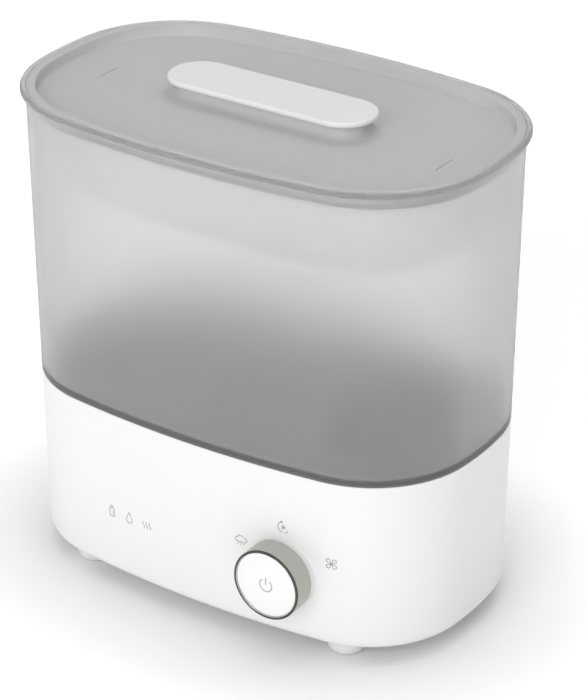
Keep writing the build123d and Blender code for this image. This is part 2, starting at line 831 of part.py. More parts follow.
def air_heater():
    size = duct_size - 2 * duct_wall - 2 * fit_gap
    low = scroll_z + scroll_height + air_heater_lift
    high = low + air_heater_height
    body = bar(duct_x, duct_y, low, high, size, size)
    pitch = size / (air_heater_slots + 1)
    for x in spread(air_heater_slots, pitch):
        fin_gap = pitch - air_heater_fin
        body -= bar(duct_x + x, duct_y, low - past, high + past, fin_gap, size - 2 * duct_wall)
    return body


def outlet_grille():
    low = seam_z - chimney_top_gap - grille_thickness
    inner = chimney_size - 2 * deck_wall - 2 * fit_gap
    body = bar(duct_x, duct_y, low, low + grille_thickness, chimney_size, chimney_size)
    open_size = inner - 2 * grille_collar_wall
    body += bar(duct_x, duct_y, low - grille_collar, low, inner, inner)
    body -= bar(duct_x, duct_y, low - grille_collar - past, low, open_size, open_size)
    pitch = open_size / grille_bars
    width = pitch - grille_bar_width
    low, high = low - past, low + grille_thickness + past
    for x in spread(grille_bars, pitch):
        body -= slot(duct_x + x, duct_y, low, high, open_size - grille_bar_width, width, 90)
    return body


# ================================================================ filter in the back wall
def filter_cover():
    gap = running_gap
    panel = leaning_block(base_z, casing_top_z) - leaning_block(base_z - past, casing_top_z + past, base_wall)
    window = Box(filter_width - 2 * gap, back_cut, filter_height - 2 * gap)
    body = panel & (Pos(filter_x, half_depth, filter_z) * window)
    inner_y = half_depth - wall_inset(filter_z) - base_wall
    frame_y = inner_y - filter_frame_depth / 2 + sink
    width, height = filter_width - 2 * filter_frame_inset, filter_height - 2 * filter_frame_inset
    frame = Box(width, filter_frame_depth + 2 * sink, height) - Box(
        width - 2 * filter_frame_wall, filter_frame_depth + 2 * past, height - 2 * filter_frame_wall
    )
    reach = leaning_block(base_z, casing_top_z, base_wall / 2)
    body += (Pos(filter_x, frame_y, filter_z) * frame) & reach
    for z in spread(louvre_slots, louvre_height * 2):
        cutter = Pos(filter_x, half_depth, filter_z - louvre_drop + z) * Rot(90, 0, 0)
        body -= cutter * extrude(SlotOverall(louvre_length, louvre_height), back_cut / 2, both=True)
    surface_y = half_depth - wall_inset(filter_z) - filter_x**2 / (2 * long_side_radius)
    thumb = Pos(filter_x, surface_y, filter_z + filter_height / 2 - thumb_drop) * Rot(90, 0, 0)
    body -= thumb * Cylinder(thumb_radius / 2, 2 * thumb_depth)
    return body


def air_filter():
    """A pleated paper pad, folded along Z."""
    margin = filter_frame_inset + filter_frame_wall + fit_gap
    width, height = filter_width - 2 * margin, filter_height - 2 * margin
    inner_y = half_depth - wall_inset(filter_z) - base_wall
    back = inner_y - filter_frame_depth + sink
    folds = 2 * filter_pleats
    xs = [filter_x - width / 2 + i * width / folds for i in range(folds + 1)]
    inside = [(x, back + (i % 2) * (filter_depth - 3 * pleat_paper)) for i, x in enumerate(xs)]
    outside = [(x, y + 2 * pleat_paper) for x, y in inside]
    face = make_face(Polyline(*inside, *reversed(outside), close=True).edges())
    return extrude(Pos(0, 0, filter_z - height / 2) * face, height)


# ================================================================ selector knob and power button
def knob_ring():
    front = knob_projection - trim_depth
    body = disc(knob_gap, front, knob_radius)
    body = fillet(low_edges(body, knob_gap), knob_back_round)
    body -= disc(knob_gap + knob_web, front + past, knob_radius - knob_wall)
    body += disc(-bracket_depth + sleeve_gap, knob_gap + knob_web / 2, hub_sleeve_radius)
    body -= disc(-bracket_depth, front, guide_radius + slip_gap)
    return on_knob(body)


def knob_trim():
    front = knob_projection
    body = disc(front - trim_depth, front, knob_radius) - disc(0, front + past, knob_radius - knob_wall)
    body = fillet(low_edges(body, front), trim_round)
    return on_knob(body)


def mode_cam():
    """The notched wheel on the knob's sleeve."""
    low = -bracket_depth + cam_lift
    body = disc(low, low + cam_thickness, cam_radius)
    body -= disc(low - past, low + cam_thickness + past, hub_sleeve_radius + fit_gap / 2)
    for turn in cam_notches:
        x, y = cam_radius * sin(radians(turn)), -cam_radius * cos(radians(turn))
        body -= hole(x, y, low, low + cam_thickness, cam_notch_radius)
    return on_knob(body)


def detent_spring():
    """A leaf on the bracket whose nose drops into the cam's notches."""
    z = -bracket_depth + spring_lift + spring_width / 2
    y = -cam_radius - spring_drop
    body = Pos(0, y, z) * Box(spring_length, spring_gauge, spring_width)
    body += Pos(0, -cam_radius, z) * Cylinder(cam_notch_radius - 3 * fit_gap, spring_width)
    x = (spring_length - spring_foot) / 2
    body += Pos(x, y, -bracket_depth + spring_width / 2) * Box(spring_foot, spring_gauge, spring_width)
    return on_knob(body)


def power_button():
    radius = knob_radius - knob_wall - button_gap
    front = knob_projection - button_recess
    body = disc(front - button_thickness, front - button_dome, radius)
    dome_radius = (radius**2 + button_dome**2) / (2 * button_dome)
    cap = Pos(0, 0, front - dome_radius) * Sphere(dome_radius)
    body += disc(front - button_dome, front + past, radius) & cap
    body += disc(-bracket_depth - sink, front - button_thickness + sink, button_stem_radius)
    return on_knob(body)


def button_guide():
    high = knob_gap + guide_proud
    body = disc(-bracket_depth, high, guide_radius)
    body -= disc(-bracket_depth - past, high + past, button_stem_radius + slip_gap)
    return on_knob(body)


def selector_bracket():
    back = -bracket_depth - bracket_gauge
    plate = Box(bracket_width, bracket_height, bracket_gauge)
    body = Pos(0, 0, back + bracket_gauge / 2) * fillet(plate.edges().filter_by(Axis.Z), bracket_corner)
    body -= disc(back - past, 0, button_stem_radius + 1)
    for x, y in corners(bracket_boss_x, bracket_boss_y):
        body -= Pos(x, y, 0) * disc(back - past, 0, screw_radius + 2 * fit_gap)
    for x, y in corners(bracket_boss_x - board_peg_inset, bracket_boss_y):
        body += Pos(x, y, 0) * disc(back - switch_height, back + sink, board_peg_radius)
    return on_knob(body)


def bracket_screws():
    back = -bracket_depth - bracket_gauge
    places = corners(bracket_boss_x, bracket_boss_y)
    return [on_knob(screw(x, y, back, bracket_screw_length)) for x, y in places]


def selector_board():
    rear = -bracket_depth - bracket_gauge - switch_height
    plate = Box(selector_board_width, selector_board_height, board_gauge)
    return on_knob(Pos(0, 0, rear - board_gauge / 2) * plate)


def tact_switch():
    rear = -bracket_depth - bracket_gauge - switch_height
    top = rear + switch_height
    body = Pos(0, 0, rear + switch_height / 2) * Box(switch_size, switch_size, switch_height)
    body -= disc(top - plunger_length - sink, top + past, plunger_radius + slip_gap)
    return on_knob(body)


def switch_plunger():
    top = -bracket_depth - sink
    low = top - plunger_reach
    return on_knob(disc(low, top, plunger_radius))


def status_led():
    rear = -bracket_depth - bracket_gauge - switch_height
    return on_knob(Pos(led_x, led_y, 0) * disc(rear, rear + led_height, led_radius))


# ================================================================ power board
def power_board():
    z = cover_top_z + board_lift
    body = bar(board_x, board_y, z, z + board_gauge, board_length, board_width)
    for x, y in corners(board_length / 2 - board_post_inset, board_width / 2 - board_post_inset):
        body -= hole(board_x + x, board_y + y, z, z + board_gauge, screw_radius + 2 * fit_gap)
    return body


def on_board(x, y, size_x, size_y, height):
    z = cover_top_z + board_lift + board_gauge
    return bar(board_x + x, board_y + y, z, z + height, size_x, size_y)


def board_screws():
    z = cover_top_z + board_lift + board_gauge
    return [
        Pos(board_x + x, board_y + y, z) * Rot(180, 0, 0) * screw(0, 0, 0, board_screw_length)
        for x, y in corners(board_length / 2 - board_post_inset, board_width / 2 - board_post_inset)
    ]


def relay():
    return on_board(*relay_place, *relay_size)


def transformer():
    core = on_board(*transformer_place, transformer_length, transformer_width, transformer_core_height)
    return core + on_board(*transformer_place, coil_length, transformer_width, coil_height)


def capacitor():
    low = board_x + capacitor_place[0], board_y + capacitor_place[1], cover_top_z + board_lift + board_gauge
    high = low[2] + capacitor_height
    return fillet(low_edges(rod(*low, high, capacitor_radius), high), capacitor_round)


def terminal_block():
    place_x, place_y = terminal_place
    body = on_board(place_x, place_y, terminal_length, terminal_width, terminal_height)
    top = cover_top_z + board_lift + board_gauge + terminal_height
    for x in spread(terminals, terminal_pitch):
        well_x, well_y = board_x + place_x + x, board_y + place_y
        body -= rod(well_x, well_y, top - terminal_well, top + past, terminal_well_radius)
    return body


# ================================================================ cord gland
def cord_gland():
    """A rubber gland in the back wall. Its bore takes the mains cord."""
    wall_y = half_depth - wall_inset(gland_z)
    seat = wall_y + running_gap
    tip = -knob_front_y
    inner = wall_y - base_wall - running_gap
    with BuildSketch(Plane.XY) as half:
        Polygon(
            (gland_bore, inner - gland_collar),
            (gland_neck_radius + gland_flange, inner - gland_collar),
            (gland_neck_radius + gland_flange, inner),
            (gland_neck_radius, inner),
            (gland_neck_radius, seat),
            (gland_flange_radius, seat),
            (gland_flange_radius, seat + gland_flange),
            (gland_neck_radius + gland_step, seat + gland_flange + gland_step),
            (gland_tip_radius, tip),
            (gland_bore, tip),
            align=None,
        )
    return Pos(0, 0, gland_z) * revolve(half.sketch, Axis.Y)


# ================================================================ write the pieces
def pieces():
    made = {
        "lid": lid(),
        "grip_cap": grip_cap(),
        "perforated_plate": perforated_plate(),
        "small_basket": small_basket(),
        "large_basket": large_basket(),
        "bottle_rack": bottle_rack(),
        "base_casing": base_casing(),
        "bottom_cover": bottom_cover(),
        "deck": deck(),
        "base_screws": base_screws(),
        "heating_plate": heating_plate(),
        "heater_seal": heater_seal(),
        "heat_spreader": heat_spreader(),
        "heating_element": heating_element(),
        "heater_clamp": heater_clamp(),
        "heater_screws": heater_screws(),
        "thermostat": thermostat(),
        "thermal_fuse": thermal_fuse(),
        "blower_scroll": blower_scroll(),
        "blower_motor": blower_motor(),
        "blower_shaft": blower_shaft(),
        "impeller": impeller(),
        "air_duct": air_duct(),
        "air_heater": air_heater(),
        "outlet_grille": outlet_grille(),
        "filter_cover": filter_cover(),
        "air_filter": air_filter(),
        "knob_ring": knob_ring(),
        "knob_trim": knob_trim(),
        "mode_cam": mode_cam(),
        "detent_spring": detent_spring(),
        "power_button": power_button(),
        "button_guide": button_guide(),
        "selector_bracket": selector_bracket(),
        "bracket_screws": bracket_screws(),
        "selector_board": selector_board(),
        "tact_switch": tact_switch(),
        "switch_plunger": switch_plunger(),
        "status_led": status_led(),
        "power_board": power_board(),
        "board_screws": board_screws(),
        "relay": relay(),
        "transformer": transformer(),
        "capacitor": capacitor(),
        "terminal_block": terminal_block(),
        "cord_gland": cord_gland(),
    }
    for end, y in (("front", -foot_y), ("back", foot_y)):
        for side, x in (("left", -foot_x), ("right", foot_x)):
            made[f"foot_{end}_{side}"] = Pos(x, y, 0) * foot()
    return made


os.makedirs("parts", exist_ok=True)
for name, shape in pieces().items():
    solids = shape if isinstance(shape, list) else [shape]
    whole = Compound(children=[s for part in solids for s in part.solids()])
    export_step(whole, f"parts/{name}.step")
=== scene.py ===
import json
from math import cos, pi, radians, sin

import bmesh
import bpy
from mathutils import Matrix, Vector
from mathutils.bvhtree import BVHTree


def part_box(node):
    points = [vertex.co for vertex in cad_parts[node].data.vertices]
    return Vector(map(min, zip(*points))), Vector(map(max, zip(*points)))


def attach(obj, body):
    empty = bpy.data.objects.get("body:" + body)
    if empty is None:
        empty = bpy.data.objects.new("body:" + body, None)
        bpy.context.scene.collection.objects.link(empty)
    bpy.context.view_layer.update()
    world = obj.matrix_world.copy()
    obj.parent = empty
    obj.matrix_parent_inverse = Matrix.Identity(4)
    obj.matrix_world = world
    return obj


# Looks of an electric bottle sterilizer: white base, smoke-grey frosted basket, lid with a white grip.
# Metres, in the frame of the CAD model: +X right, front at -Y, +Z up.

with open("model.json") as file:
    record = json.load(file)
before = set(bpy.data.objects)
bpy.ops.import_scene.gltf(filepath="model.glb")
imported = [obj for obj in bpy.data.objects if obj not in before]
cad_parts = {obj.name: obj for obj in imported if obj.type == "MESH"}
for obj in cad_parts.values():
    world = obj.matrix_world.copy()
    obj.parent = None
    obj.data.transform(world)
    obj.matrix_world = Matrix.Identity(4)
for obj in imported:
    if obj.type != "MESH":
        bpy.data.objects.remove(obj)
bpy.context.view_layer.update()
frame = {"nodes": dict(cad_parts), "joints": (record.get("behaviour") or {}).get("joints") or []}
nodes = frame["nodes"]
joints = {joint["name"]: joint for joint in frame["joints"]}
MM = 0.001

# ---------------------------------------------------------------- camera
CAMERA_AZIMUTH = 34.38  # degrees, from straight in front towards +X
CAMERA_ELEVATION = 27.39
CAMERA_DISTANCE = 1.5927
CAMERA_TARGET = Vector((0, 0, 0.14675))
CAMERA_LENS = 144.7
CAMERA_ROLL = -0.2
CAMERA_SHIFT = (0.030, -0.021)
CAMERA_REACH = 50


def make_camera():
    a, e = radians(CAMERA_AZIMUTH), radians(CAMERA_ELEVATION)
    back = Vector((sin(a) * cos(e), -cos(a) * cos(e), sin(e)))
    camera = bpy.data.objects.new("camera", bpy.data.cameras.new("camera"))
    camera.data.lens = CAMERA_LENS
    camera.data.shift_x, camera.data.shift_y = CAMERA_SHIFT
    camera.data.clip_end = CAMERA_REACH
    turn = (-back).to_track_quat("-Z", "Y").to_matrix().to_4x4()
    roll = Matrix.Rotation(radians(CAMERA_ROLL), 4, "Z")
    camera.matrix_world = Matrix.Translation(CAMERA_TARGET + back * CAMERA_DISTANCE) @ turn @ roll
    bpy.context.scene.collection.objects.link(camera)
    bpy.context.scene.camera = camera


# ---------------------------------------------------------------- studio
WORLD_STRENGTH = 0.46
SOFT_BOXES = (  # name, place, what it faces, side in metres, watts
    ("key_box", (0.42, -2.7, 1.3), (0, 0, 0.15), 1.8, 34),
    ("top_box", (0.1, 0.3, 2.4), (0, 0, 0.1), 2.0, 14),
)


def area_light(name, place, target, side, power):
    """A square soft box at place that faces target."""
    lamp = bpy.data.lights.new(name, "AREA")
    lamp.shape = "RECTANGLE"
    lamp.size = lamp.size_y = side
    lamp.energy = power
    light = bpy.data.objects.new(name, lamp)
    aim = Vector(target) - Vector(place)
    light.matrix_world = Matrix.Translation(place) @ aim.to_track_quat("-Z", "Y").to_matrix().to_4x4()
    bpy.context.scene.collection.objects.link(light)


FLOOR_REACH = 8
FLOOR_GLOW = 0.38
FLOOR_SHADE_DEPTH = 3.0
FLOOR_SHADE_REACH = 0.10  # how far from the feet the floor's glow fades in: ambient occlusion dims the glow there, a painted contact shadow


def make_studio():
    world = bpy.data.worlds.new("studio")
    bpy.context.scene.world = world
    world.use_nodes = True
    world.node_tree.nodes["Background"].inputs["Color"].default_value = (1, 1, 1, 1)
    world.node_tree.nodes["Background"].inputs["Strength"].default_value = WORLD_STRENGTH
    bpy.context.scene.view_settings.view_transform = "Standard"
    for soft_box in SOFT_BOXES:
        area_light(*soft_box)
    shape = bmesh.new()
    bmesh.ops.create_grid(shape, x_segments=2, y_segments=2, size=FLOOR_REACH)
    # The floor glows though it is no lamp; ambient occlusion dims that glow near the product, painting
    # a contact shadow.
    floor = Finish("white_floor", grey(0.93), 0.9, Emission_Strength=FLOOR_GLOW)
    shade = floor.tree.nodes.new("ShaderNodeAmbientOcclusion")
    shade.inputs["Distance"].default_value = FLOOR_SHADE_REACH
    painted_contact_shadow = math_node(floor.tree, "POWER", shade.outputs["AO"], FLOOR_SHADE_DEPTH)
    floor.tree.links.new(painted_contact_shadow, floor.shader.inputs["Emission Color"])
    mesh_object("floor", shape, floor.drift(1.2, 0.01).material)


# ---------------------------------------------------------------- node helpers
def new_group(name, inputs, outputs):
    """An empty shader node group with named sockets, and its two end nodes."""
    group = bpy.data.node_groups.new(name, "ShaderNodeTree")
    for label, kind, value in inputs:
        socket = group.interface.new_socket(name=label, in_out="INPUT", socket_type=kind)
        if value is not None:
            socket.default_value = value
    for label, kind in outputs:
        group.interface.new_socket(name=label, in_out="OUTPUT", socket_type=kind)
    start = group.nodes.new("NodeGroupInput")
    end = group.nodes.new("NodeGroupOutput")
    return group, start, end


def math_node(tree, operation, first, second):
    """A Math node; each input is a socket or a number."""
    node = tree.nodes.new("ShaderNodeMath")
    node.operation = operation
    for socket, value in zip(node.inputs, (first, second)):
        if isinstance(value, (int, float)):
            socket.default_value = value
        else:
            tree.links.new(value, socket)
    return node.outputs[0]


def noise_node(tree, vector, scale, detail, roughness=0.5):
    node = tree.nodes.new("ShaderNodeTexNoise")
    node.inputs["Detail"].default_value = detail
    node.inputs["Roughness"].default_value = roughness
    tree.links.new(vector, node.inputs["Vector"])
    if isinstance(scale, (int, float)):
        node.inputs["Scale"].default_value = scale
    else:
        tree.links.new(scale, node.inputs["Scale"])
    return node.outputs["Fac"]


FLOAT, VECTOR, COLOR = "NodeSocketFloat", "NodeSocketVector", "NodeSocketColor"


SHADE_SCALE = 9.0  # of the slow change of roughness over a moulding, per metre
RING_WANDER = 0.0012  # how far a turned line changes in one radian


def mould_grain():
    """The fine texture that a spark-eroded mould leaves: Height for bump, Shade for roughness."""
    group, start, end = new_group(
        "mould_grain",
        [("Vector", VECTOR, None), ("Size", FLOAT, 0.0006)],
        [("Height", FLOAT), ("Shade", FLOAT)],
    )
    scale = math_node(group, "DIVIDE", 1.0, start.outputs["Size"])
    fine = noise_node(group, start.outputs["Vector"], scale, 2.0)
    broad = noise_node(group, start.outputs["Vector"], SHADE_SCALE, 2.0)
    group.links.new(fine, end.inputs["Height"])
    group.links.new(broad, end.inputs["Shade"])
    return group


def tone_drift():
    """Slow, slight change of tone over a moulded wall: a factor about one."""
    group, start, end = new_group(
        "tone_drift",
        [
            ("Vector", VECTOR, None),
            ("Size", FLOAT, 0.12),
            ("Amount", FLOAT, 0.03),
            ("Tone", COLOR, (1, 1, 1, 1)),
        ],
        [("Color", COLOR)],
    )
    scale = math_node(group, "DIVIDE", 1.0, start.outputs["Size"])
    noise = noise_node(group, start.outputs["Vector"], scale, 3.0)
    centred = math_node(group, "SUBTRACT", noise, 0.5)
    swing = math_node(group, "MULTIPLY", centred, start.outputs["Amount"])
    factor = math_node(group, "ADD", swing, 1.0)
    scaled = group.nodes.new("ShaderNodeVectorMath")
    scaled.operation = "SCALE"
    group.links.new(start.outputs["Tone"], scaled.inputs[0])
    group.links.new(factor, scaled.inputs["Scale"])
    group.links.new(scaled.outputs[0], end.inputs["Color"])
    return group


def turned_lines():
    """Fine rings about the Z axis of Vector, as a lathe or a rotary brush leaves them."""
    group, start, end = new_group(
        "turned_lines",
        [("Vector", VECTOR, None), ("Pitch", FLOAT, 0.0004)],
        [("Height", FLOAT)],
    )
    split = group.nodes.new("ShaderNodeSeparateXYZ")
    group.links.new(start.outputs["Vector"], split.inputs[0])
    x2 = math_node(group, "MULTIPLY", split.outputs["X"], split.outputs["X"])
    y2 = math_node(group, "MULTIPLY", split.outputs["Y"], split.outputs["Y"])
    radius = math_node(group, "SQRT", math_node(group, "ADD", x2, y2), 0.0)
    turn = math_node(group, "ARCTAN2", split.outputs["Y"], split.outputs["X"])
    along = math_node(group, "MULTIPLY", turn, RING_WANDER)
    join = group.nodes.new("ShaderNodeCombineXYZ")
    group.links.new(radius, join.inputs["X"])
    group.links.new(along, join.inputs["Y"])
    scale = math_node(group, "DIVIDE", 1.0, start.outputs["Pitch"])
    group.links.new(noise_node(group, join.outputs[0], scale, 3.0, 0.7), end.inputs["Height"])
    return group


GRAIN = mould_grain()
DRIFT = tone_drift()
RINGS = turned_lines()


class Finish:
    """A material with one Principled shader; the methods add its surface detail."""

    def __init__(self, name, tone, roughness, **sockets):
        self.material = bpy.data.materials.new(name)
        self.material.use_nodes = True
        self.tree = self.material.node_tree
        self.shader = self.tree.nodes["Principled BSDF"]
        self.tone = (*tone, 1)
        self.roughness = roughness
        self.shader.inputs["Base Color"].default_value = self.tone
        self.shader.inputs["Roughness"].default_value = roughness
        for label, value in sockets.items():
            self.shader.inputs[label.replace("_", " ")].default_value = value
        self.where = self.tree.nodes.new("ShaderNodeTexCoord").outputs["Object"]

    def group(self, group, **values):
        node = self.tree.nodes.new("ShaderNodeGroup")
        node.node_tree = group
        for label, value in values.items():
            if label == "Vector":
                self.tree.links.new(value, node.inputs[label])
            else:
                node.inputs[label].default_value = value
        return node

    def about(self, centre):
        """Object coordinates measured from a centre."""
        node = self.tree.nodes.new("ShaderNodeMapping")
        node.inputs["Location"].default_value = -Vector(centre)
        self.tree.links.new(self.where, node.inputs["Vector"])
        return node.outputs[0]

    def bump(self, height, distance, strength=1.0):
        node = self.tree.nodes.new("ShaderNodeBump")
        node.inputs["Distance"].default_value = distance
        node.inputs["Strength"].default_value = strength
        self.tree.links.new(height, node.inputs["Height"])
        self.tree.links.new(node.outputs[0], self.shader.inputs["Normal"])
        return self

    def drift(self, size=0.12, amount=0.04):
        node = self.group(DRIFT, Vector=self.where, Size=size, Amount=amount, Tone=self.tone)
        self.tree.links.new(node.outputs["Color"], self.shader.inputs["Base Color"])
        return self

    def grain(self, size=0.6 * MM, depth=0.01 * MM, spread=0.06):
        node = self.group(GRAIN, Vector=self.where, Size=size)
        self.bump(node.outputs["Height"], depth)
        swing = math_node(self.tree, "MULTIPLY", node.outputs["Shade"], spread)
        rough = math_node(self.tree, "ADD", swing, self.roughness - spread / 2)
        self.tree.links.new(rough, self.shader.inputs["Roughness"])
        return self

    def rings(self, centre, pitch, depth):
        node = self.group(RINGS, Vector=self.about(centre), Pitch=pitch)
        return self.bump(node.outputs["Height"], depth)


def plastic(name, tone, roughness=0.4, grain=0.6 * MM, depth=0.01 * MM, **sockets):
    return Finish(name, tone, roughness, **sockets).drift().grain(grain, depth).material


def metal(name, tone, roughness, grain=0.3 * MM, depth=0.004 * MM):
    finish = Finish(name, tone, roughness, Metallic=1.0)
    return finish.drift(0.02, 0.08).grain(grain, depth, 0.12).material


def grey(level):
    return (level, level, level)


# ---------------------------------------------------------------- mesh helpers
def mesh_object(name, shape, material, smooth=True):
    """Turns a finished bmesh into an object at the origin."""
    mesh = bpy.data.meshes.new(name)
    shape.to_mesh(mesh)
    shape.free()
    for face in mesh.polygons:
        face.use_smooth = smooth
    mesh.materials.append(material)
    thing = bpy.data.objects.new(name, mesh)
    bpy.context.scene.collection.objects.link(thing)
    return thing


def paint(material, *names):
    for name in names:
        mesh = nodes[name].data
        mesh.materials.clear()
        mesh.materials.append(material)


def surface_tree(mesh):
    """For casting rays onto a mesh that sits at the origin."""
    return BVHTree.FromPolygons([v.co for v in mesh.vertices], [p.vertices for p in mesh.polygons])


def middle(name):
    low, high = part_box(name)
    return (Vector(low) + Vector(high)) / 2


# ---------------------------------------------------------------- finishes of the basket, lid and trays
LIP_UNDERSIDE = 286.6 * MM
LIP_BLEND = 0.6 * MM
# The lip's darker grey is painted shade, not a different plastic.
LIP_SHADE_TONE = 0.72


def smoke_finish():
    """Frosted smoke; the rim's lip is painted darker than the wall below it, a painted shade for the
    thicker, layered plastic there.
    """
    smoke = Finish("smoke_wall", grey(0.96), 0.42, Transmission_Weight=0.9, IOR=1.4)
    smoke.drift(0.09, 0.03).grain(0.8 * MM, 0.01 * MM)
    tree = smoke.tree
    split = tree.nodes.new("ShaderNodeSeparateXYZ")
    tree.links.new(smoke.where, split.inputs[0])
    # Above the lip's underside the base colour blends to the darker grey: painted shade.
    lip = tree.nodes.new("ShaderNodeMapRange")
    lip.inputs["From Min"].default_value = LIP_UNDERSIDE - LIP_BLEND
    lip.inputs["From Max"].default_value = LIP_UNDERSIDE + LIP_BLEND
    tree.links.new(split.outputs["Z"], lip.inputs["Value"])
    blend = tree.nodes.new("ShaderNodeMix")
    blend.data_type = "RGBA"
    blend.inputs["B"].default_value = (*grey(LIP_SHADE_TONE), 1)
    wall = smoke.shader.inputs["Base Color"].links[0].from_socket
    tree.links.new(lip.outputs["Result"], blend.inputs["Factor"])
    tree.links.new(wall, blend.inputs["A"])
    tree.links.new(blend.outputs["Result"], smoke.shader.inputs["Base Color"])
    return smoke.material


def lid_finish():
    smoke = Finish("smoke_lid", grey(0.83), 0.45, Transmission_Weight=0.45, IOR=1.46)
    return smoke.drift(0.09, 0.03).grain(0.8 * MM, 0.01 * MM).material


def tray_finish():
    """Clear plastic, thin enough to show only as a slight haze."""
    return Finish("clear_tray", grey(0.96), 0.3, Alpha=0.11).drift(0.06, 0.01).material


def dress_stack():
    paint(smoke_finish(), "large_basket")
    paint(lid_finish(), "lid")
    paint(tray_finish(), "small_basket", "perforated_plate")
    paint(plastic("milky_rack", grey(0.5), 0.5, Transmission_Weight=0.6, IOR=1.46), "bottle_rack")
    paint(plastic("cap_white", grey(0.93), 0.3, 0.5 * MM, 0.004 * MM), "grip_cap")


VENTS = ((-107.5 * MM, -4.5 * MM), (115.5 * MM, -9.5 * MM))  # the middles of the lid's two slots
SLAT = Vector((0.8, 17.6, 1.2)) * MM  # the pale bar along the right side of each slot, a painted highlight for the slot's lit far wall
SLAT_DEPTH = 0.08 * MM
SLAT_OFFSET = 0.42 * MM  # of a slat's middle from its slot's
PANEL_PROBE = 4 * MM  # how far beside a slot the panel's height is read


def make_slats():
    """The pale bar in each of the lid's slots, let in just under the panel's face: a painted highlight
    for the slot's lit far wall.
    """
    panel = surface_tree(nodes["lid"].data)
    shape = bmesh.new()
    for x, y in VENTS:
        top = panel.ray_cast(Vector((x - PANEL_PROBE, y, 1)), Vector((0, 0, -1)))[0].z - SLAT_DEPTH
        place = Matrix.Translation((x + SLAT_OFFSET, y, top - SLAT.z / 2))
        bmesh.ops.create_cube(shape, size=1, matrix=place @ Matrix.Diagonal((*SLAT, 1)))
    slats = mesh_object("vent_slats", shape, plastic("slat_painted_highlight", grey(0.8), 0.4), smooth=False)
    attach(slats, "lid")


# ---------------------------------------------------------------- finishes of the base's outside
def dress_base():
    paint(plastic("white_shell", grey(0.86), 0.34), "base_casing", "bottom_cover", "filter_cover")
    paint(plastic("dark_deck", grey(0.13), 0.45), "deck", "outlet_grille")
    paint(plastic("knob_warm_grey", (0.47, 0.47, 0.43), 0.4, 0.35 * MM, 0.006 * MM), "knob_ring")
    feet = [f"foot_{end}_{side}" for end in ("front", "back") for side in ("left", "right")]
    paint(plastic("foot_soft", (0.78, 0.78, 0.77), 0.55, 0.9 * MM, 0.02 * MM), *feet)
    paint(plastic("gland_rubber", grey(0.45), 0.6, 0.5 * MM, 0.02 * MM), "cord_gland")
    paint(filter_finish(), "air_filter")


def filter_finish():
    """Paper: long fibres that lie every way, in a soft off-white."""
    paper = Finish("filter_paper", (0.85, 0.85, 0.82), 0.9).drift(0.01, 0.08)
    stretched = paper.tree.nodes.new("ShaderNodeMapping")
    stretched.inputs["Scale"].default_value = (1, 1, 0.2)
    paper.tree.links.new(paper.where, stretched.inputs["Vector"])
    fibres = noise_node(paper.tree, stretched.outputs[0], 4200.0, 4.0, 0.7)
    return paper.bump(fibres, 0.03 * MM).material


# ---------------------------------------------------------------- finishes of the heater and the works
def dress_heater():
    centre = middle("heating_plate")
    steel = Finish("turned_steel", (0.66, 0.66, 0.65), 0.24, Metallic=1.0)
    paint(steel.rings(centre, 0.35 * MM, 0.012 * MM).material, "heating_plate")
    silicone = plastic("silicone", (0.62, 0.6, 0.56), 0.55, 0.4 * MM, 0.01 * MM, Subsurface_Weight=0.1)
    paint(silicone, "heater_seal")
    paint(metal("cast_aluminium", (0.72, 0.72, 0.73), 0.5, 0.9 * MM, 0.05 * MM), "heat_spreader")
    paint(metal("element_steel", (0.35, 0.33, 0.31), 0.42), "heating_element")
    paint(metal("zinc_steel", (0.55, 0.55, 0.52), 0.34), "heater_clamp", *screw_nodes())
    paint(plastic("phenolic", grey(0.04), 0.5, 0.5 * MM, 0.015 * MM), "thermostat")
    paint(weave("sleeve_white", (0.8, 0.8, 0.77), 0.7 * MM), "thermal_fuse")


def screw_nodes():
    return [name for name in nodes if name.endswith("_screws")]


WAVES_PER_SCALE = 20  # a Wave Texture's bands in a unit of its scale


def weave(name, tone, pitch):
    """Crossed threads, pitch apart."""
    cloth = Finish(name, tone, 0.85)
    heights = []
    for axis in ("X", "Z"):
        wave = cloth.tree.nodes.new("ShaderNodeTexWave")
        wave.bands_direction = axis
        wave.inputs["Scale"].default_value = 1 / (pitch * WAVES_PER_SCALE)
        cloth.tree.links.new(cloth.where, wave.inputs["Vector"])
        heights.append(wave.outputs["Fac"])
    return cloth.drift(0.01, 0.06).bump(math_node(cloth.tree, "MAXIMUM", *heights), 0.08 * MM).material


def dress_blower():
    fibre = plastic("housing_grey", (0.42, 0.43, 0.44), 0.5, 0.5 * MM, 0.02 * MM)
    paint(fibre, "blower_scroll", "air_duct", "selector_bracket")
    paint(plastic("wheel_black", (0.1, 0.1, 0.11), 0.4, 0.5 * MM, 0.01 * MM), "impeller")
    can = Finish("motor_can", grey(0.5), 0.3, Metallic=1.0).drift(0.02, 0.06)
    paint(can.rings(middle("blower_motor"), 0.5 * MM, 0.01 * MM).material, "blower_motor")
    shaft = Finish("shaft_steel", grey(0.7), 0.18, Metallic=1.0)
    paint(shaft.rings(middle("blower_shaft"), 0.2 * MM, 0.003 * MM).material, "blower_shaft")
    paint(plastic("ceramic_fins", (0.75, 0.7, 0.62), 0.7, 0.3 * MM, 0.03 * MM), "air_heater")


def dress_selector():
    paint(plastic("acetal", (0.82, 0.82, 0.8), 0.35, 0.4 * MM, 0.006 * MM), "mode_cam", "button_guide")
    paint(metal("spring_steel", grey(0.6), 0.22), "detent_spring")
    paint(board_finish(), "selector_board", "power_board")
    switch_black = plastic("switch_black", grey(0.035), 0.45, 0.3 * MM, 0.01 * MM)
    paint(switch_black, "tact_switch", "switch_plunger")
    paint(Finish("led_clear", (0.9, 0.9, 0.85), 0.1, Transmission_Weight=0.9).material, "status_led")


